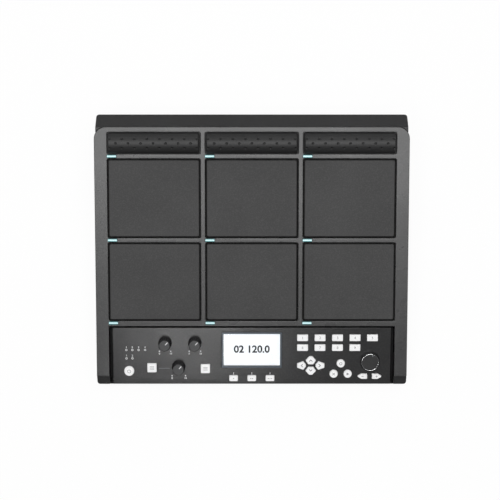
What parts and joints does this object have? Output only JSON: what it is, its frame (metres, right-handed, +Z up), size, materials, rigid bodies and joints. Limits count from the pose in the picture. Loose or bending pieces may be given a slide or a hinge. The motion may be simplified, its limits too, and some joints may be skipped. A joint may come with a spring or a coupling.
{
  "type": "electronic percussion pad",
  "caption": "Wedge-shaped electronic percussion pad with dimpled trigger bars, square rubber pads and a lower front panel of keys, knobs, a dial and a display.",
  "frame": {"origin": "on the floor under the middle of the part, at the bottom of its feet", "axes": "+X to the right as a player sees it, +Y to the rear, +Z up"},
  "size_m": [0.35, 0.3032, 0.0873],
  "materials": {
    "base_metal": "black powder coat",
    "foot_rubber": "matt",
    "screw_steel": "zinc plated",
    "case_plastic": "fine matt grain",
    "deck_plastic": "satin grey, fine grain",
    "panel_plastic": "satin dark grey",
    "socket_plastic": "matt black",
    "board_laminate": "green solder mask",
    "sheet_steel": "plain sheet",
    "pad_foam": "closed-cell foam",
    "piezo_brass": "plain",
    "core_plastic": "plain moulding",
    "light_lens": "lit cyan-white",
    "mat_silicone": "matt",
    "control_metal": "plated case",
    "display_screen": "lit white",
    "window_glass": "clear",
    "pad_rubber": "matt, fine grain",
    "bar_rubber": "matt, dimpled",
    "key_plastic": "satin white",
    "knob_plastic": "soft black"
  },
  "bodies": {
    "housing": {"base_plate": "base_metal", "rubber_feet": "foot_rubber", "base_screws": "screw_steel", "case_shell": "case_plastic", "top_deck": "deck_plastic", "control_panel": "panel_plastic", "jack_plate": "socket_plastic", "quarter_inch_jacks": "socket_plastic", "small_sockets": "socket_plastic", "main_board": "board_laminate", "board_screws": "screw_steel", "pad_chassis": "sheet_steel", "pad_foams": "pad_foam", "pad_plates": "sheet_steel", "piezo_discs": "piezo_brass", "bar_cores": "core_plastic", "pad_lights": "light_lens", "control_board": "board_laminate", "keypad_mats": "mat_silicone", "rotary_control_bodies": "control_metal", "display_carrier": "core_plastic", "display_module": "display_screen", "display_window": "window_glass", "pad_rear_left": "pad_rubber", "pad_rear_middle": "pad_rubber", "pad_rear_right": "pad_rubber", "pad_front_left": "pad_rubber", "pad_front_middle": "pad_rubber", "pad_front_right": "pad_rubber", "bar_left": "bar_rubber", "bar_middle": "bar_rubber", "bar_right": "bar_rubber"},
    "menu_key_1_1": {"menu_key_1_1": "key_plastic"},
    "menu_key_1_2": {"menu_key_1_2": "key_plastic"},
    "menu_key_1_3": {"menu_key_1_3": "key_plastic"},
    "menu_key_1_4": {"menu_key_1_4": "key_plastic"},
    "menu_key_1_5": {"menu_key_1_5": "key_plastic"},
    "menu_key_2_1": {"menu_key_2_1": "key_plastic"},
    "menu_key_2_2": {"menu_key_2_2": "key_plastic"},
    "menu_key_2_3": {"menu_key_2_3": "key_plastic"},
    "menu_key_2_4": {"menu_key_2_4": "key_plastic"},
    "arrow_key_up": {"arrow_key_up": "key_plastic"},
    "arrow_key_down": {"arrow_key_down": "key_plastic"},
    "arrow_key_left": {"arrow_key_left": "key_plastic"},
    "arrow_key_right": {"arrow_key_right": "key_plastic"},
    "round_key_top": {"round_key_top": "key_plastic"},
    "round_key_left": {"round_key_left": "key_plastic"},
    "round_key_right": {"round_key_right": "key_plastic"},
    "step_key_left": {"step_key_left": "key_plastic"},
    "step_key_right": {"step_key_right": "key_plastic"},
    "function_key_1": {"function_key_1": "key_plastic"},
    "function_key_2": {"function_key_2": "key_plastic"},
    "function_key_3": {"function_key_3": "key_plastic"},
    "square_key_left": {"square_key_left": "key_plastic"},
    "square_key_right": {"square_key_right": "key_plastic"},
    "power_key": {"power_key": "key_plastic"},
    "knob_left": {"knob_left": "knob_plastic"},
    "knob_right": {"knob_right": "knob_plastic"},
    "knob_front": {"knob_front": "knob_plastic"},
    "dial": {"dial": "knob_plastic"}
  },
  "joints": [
    {"name": "menu_key_1_1_press", "type": "slide", "parent": "housing", "child": "menu_key_1_1", "axis": [0, 0.2079, -0.9781], "range_m": [0, 0.0009], "stiffness_N_per_m": 400},
    {"name": "menu_key_1_2_press", "type": "slide", "parent": "housing", "child": "menu_key_1_2", "axis": [0, 0.2079, -0.9781], "range_m": [0, 0.0009], "stiffness_N_per_m": 400},
    {"name": "menu_key_1_3_press", "type": "slide", "parent": "housing", "child": "menu_key_1_3", "axis": [0, 0.2079, -0.9781], "range_m": [0, 0.0009], "stiffness_N_per_m": 400},
    {"name": "menu_key_1_4_press", "type": "slide", "parent": "housing", "child": "menu_key_1_4", "axis": [0, 0.2079, -0.9781], "range_m": [0, 0.0009], "stiffness_N_per_m": 400},
    {"name": "menu_key_1_5_press", "type": "slide", "parent": "housing", "child": "menu_key_1_5", "axis": [0, 0.2079, -0.9781], "range_m": [0, 0.0009], "stiffness_N_per_m": 400},
    {"name": "menu_key_2_1_press", "type": "slide", "parent": "housing", "child": "menu_key_2_1", "axis": [0, 0.2079, -0.9781], "range_m": [0, 0.0009], "stiffness_N_per_m": 400},
    {"name": "menu_key_2_2_press", "type": "slide", "parent": "housing", "child": "menu_key_2_2", "axis": [0, 0.2079, -0.9781], "range_m": [0, 0.0009], "stiffness_N_per_m": 400},
    {"name": "menu_key_2_3_press", "type": "slide", "parent": "housing", "child": "menu_key_2_3", "axis": [0, 0.2079, -0.9781], "range_m": [0, 0.0009], "stiffness_N_per_m": 400},
    {"name": "menu_key_2_4_press", "type": "slide", "parent": "housing", "child": "menu_key_2_4", "axis": [0, 0.2079, -0.9781], "range_m": [0, 0.0009], "stiffness_N_per_m": 400},
    {"name": "arrow_key_up_press", "type": "slide", "parent": "housing", "child": "arrow_key_up", "axis": [0, 0.2079, -0.9781], "range_m": [0, 0.0009], "stiffness_N_per_m": 400},
    {"name": "arrow_key_down_press", "type": "slide", "parent": "housing", "child": "arrow_key_down", "axis": [0, 0.2079, -0.9781], "range_m": [0, 0.0009], "stiffness_N_per_m": 400},
    {"name": "arrow_key_left_press", "type": "slide", "parent": "housing", "child": "arrow_key_left", "axis": [0, 0.2079, -0.9781], "range_m": [0, 0.0009], "stiffness_N_per_m": 400},
    {"name": "arrow_key_right_press", "type": "slide", "parent": "housing", "child": "arrow_key_right", "axis": [0, 0.2079, -0.9781], "range_m": [0, 0.0009], "stiffness_N_per_m": 400},
    {"name": "round_key_top_press", "type": "slide", "parent": "housing", "child": "round_key_top", "axis": [0, 0.2079, -0.9781], "range_m": [0, 0.0009], "stiffness_N_per_m": 400},
    {"name": "round_key_left_press", "type": "slide", "parent": "housing", "child": "round_key_left", "axis": [0, 0.2079, -0.9781], "range_m": [0, 0.0009], "stiffness_N_per_m": 400},
    {"name": "round_key_right_press", "type": "slide", "parent": "housing", "child": "round_key_right", "axis": [0, 0.2079, -0.9781], "range_m": [0, 0.0009], "stiffness_N_per_m": 400},
    {"name": "step_key_left_press", "type": "slide", "parent": "housing", "child": "step_key_left", "axis": [0, 0.2079, -0.9781], "range_m": [0, 0.0009], "stiffness_N_per_m": 400},
    {"name": "step_key_right_press", "type": "slide", "parent": "housing", "child": "step_key_right", "axis": [0, 0.2079, -0.9781], "range_m": [0, 0.0009], "stiffness_N_per_m": 400},
    {"name": "function_key_1_press", "type": "slide", "parent": "housing", "child": "function_key_1", "axis": [0, 0.2079, -0.9781], "range_m": [0, 0.0009], "stiffness_N_per_m": 400},
    {"name": "function_key_2_press", "type": "slide", "parent": "housing", "child": "function_key_2", "axis": [0, 0.2079, -0.9781], "range_m": [0, 0.0009], "stiffness_N_per_m": 400},
    {"name": "function_key_3_press", "type": "slide", "parent": "housing", "child": "function_key_3", "axis": [0, 0.2079, -0.9781], "range_m": [0, 0.0009], "stiffness_N_per_m": 400},
    {"name": "square_key_left_press", "type": "slide", "parent": "housing", "child": "square_key_left", "axis": [0, 0.2079, -0.9781], "range_m": [0, 0.0009], "stiffness_N_per_m": 400},
    {"name": "square_key_right_press", "type": "slide", "parent": "housing", "child": "square_key_right", "axis": [0, 0.2079, -0.9781], "range_m": [0, 0.0009], "stiffness_N_per_m": 400},
    {"name": "power_key_press", "type": "slide", "parent": "housing", "child": "power_key", "axis": [0, 0.2079, -0.9781], "range_m": [0, 0.0009], "stiffness_N_per_m": 400},
    {"name": "knob_left_turn", "type": "hinge", "parent": "housing", "child": "knob_left", "pos_m": [-0.098, -0.10457, 0.04499], "axis": [0, -0.2079, 0.9781], "range_deg": [-102, 186]},
    {"name": "knob_right_turn", "type": "hinge", "parent": "housing", "child": "knob_right", "pos_m": [-0.0643, -0.10457, 0.04499], "axis": [0, -0.2079, 0.9781], "range_deg": [-102, 186]},
    {"name": "knob_front_turn", "type": "hinge", "parent": "housing", "child": "knob_front", "pos_m": [-0.0828, -0.13176, 0.03921], "axis": [0, -0.2079, 0.9781], "range_deg": [-102, 186]},
    {"name": "dial_turn", "type": "hinge", "parent": "housing", "child": "dial", "pos_m": [0.1335, -0.12472, 0.0407], "axis": [0, -0.2079, 0.9781], "continuous": true}
  ]
}
